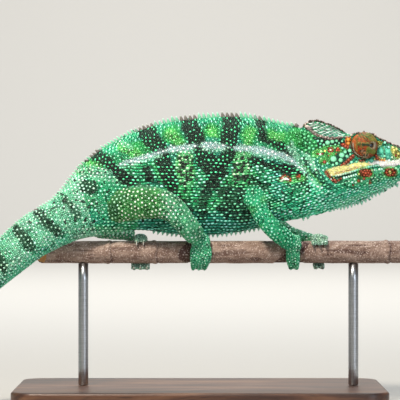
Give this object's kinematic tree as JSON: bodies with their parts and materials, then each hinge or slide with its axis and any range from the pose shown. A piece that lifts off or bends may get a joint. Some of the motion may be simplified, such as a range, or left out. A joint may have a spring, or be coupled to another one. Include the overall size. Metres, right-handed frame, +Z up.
{
  "type": "panther chameleon figure",
  "caption": "Life-size green panther chameleon with a crested back and swivelling-eye turrets, gripping a short cut branch held over a flat base by rods.",
  "frame": {"origin": "centre of the stand base's underside, on the ground", "axes": "+X along the branch toward the head, +Y to the animal's left, +Z up; the animal's right side faces -Y"},
  "size_m": [0.2923, 0.11, 0.177],
  "materials": {
    "scaly_skin": "granular scales in emerald, mint and dark green",
    "turret_skin": "fine scales, orange and green",
    "eye": "wet gloss",
    "bark": "smooth weathered bark",
    "stand_wood": "dark satin finish",
    "stand_steel": "brushed"
  },
  "bodies": {
    "root": {"head": "scaly_skin", "lower_jaw": "scaly_skin", "neck": "scaly_skin", "trunk": "scaly_skin", "tail_base": "scaly_skin", "tail_middle": "scaly_skin", "tail_coil": "scaly_skin", "tail_tip": "scaly_skin", "foreleg_right_upper": "scaly_skin", "foreleg_right_lower": "scaly_skin", "forefoot_right_outer": "scaly_skin", "forefoot_right_inner": "scaly_skin", "hindleg_right_thigh": "scaly_skin", "hindleg_right_shank": "scaly_skin", "hindfoot_right_outer": "scaly_skin", "hindfoot_right_inner": "scaly_skin", "foreleg_left_upper": "scaly_skin", "foreleg_left_lower": "scaly_skin", "forefoot_left_outer": "scaly_skin", "forefoot_left_inner": "scaly_skin", "hindleg_left_thigh": "scaly_skin", "hindleg_left_shank": "scaly_skin", "hindfoot_left_outer": "scaly_skin", "hindfoot_left_inner": "scaly_skin", "eye_turret_right": "turret_skin", "eye_right": "eye", "eye_turret_left": "turret_skin", "eye_left": "eye", "perch_branch": "bark", "stand_base": "stand_wood", "stand_rod_front": "stand_steel", "stand_rod_rear": "stand_steel"}
  },
  "joints": []
}
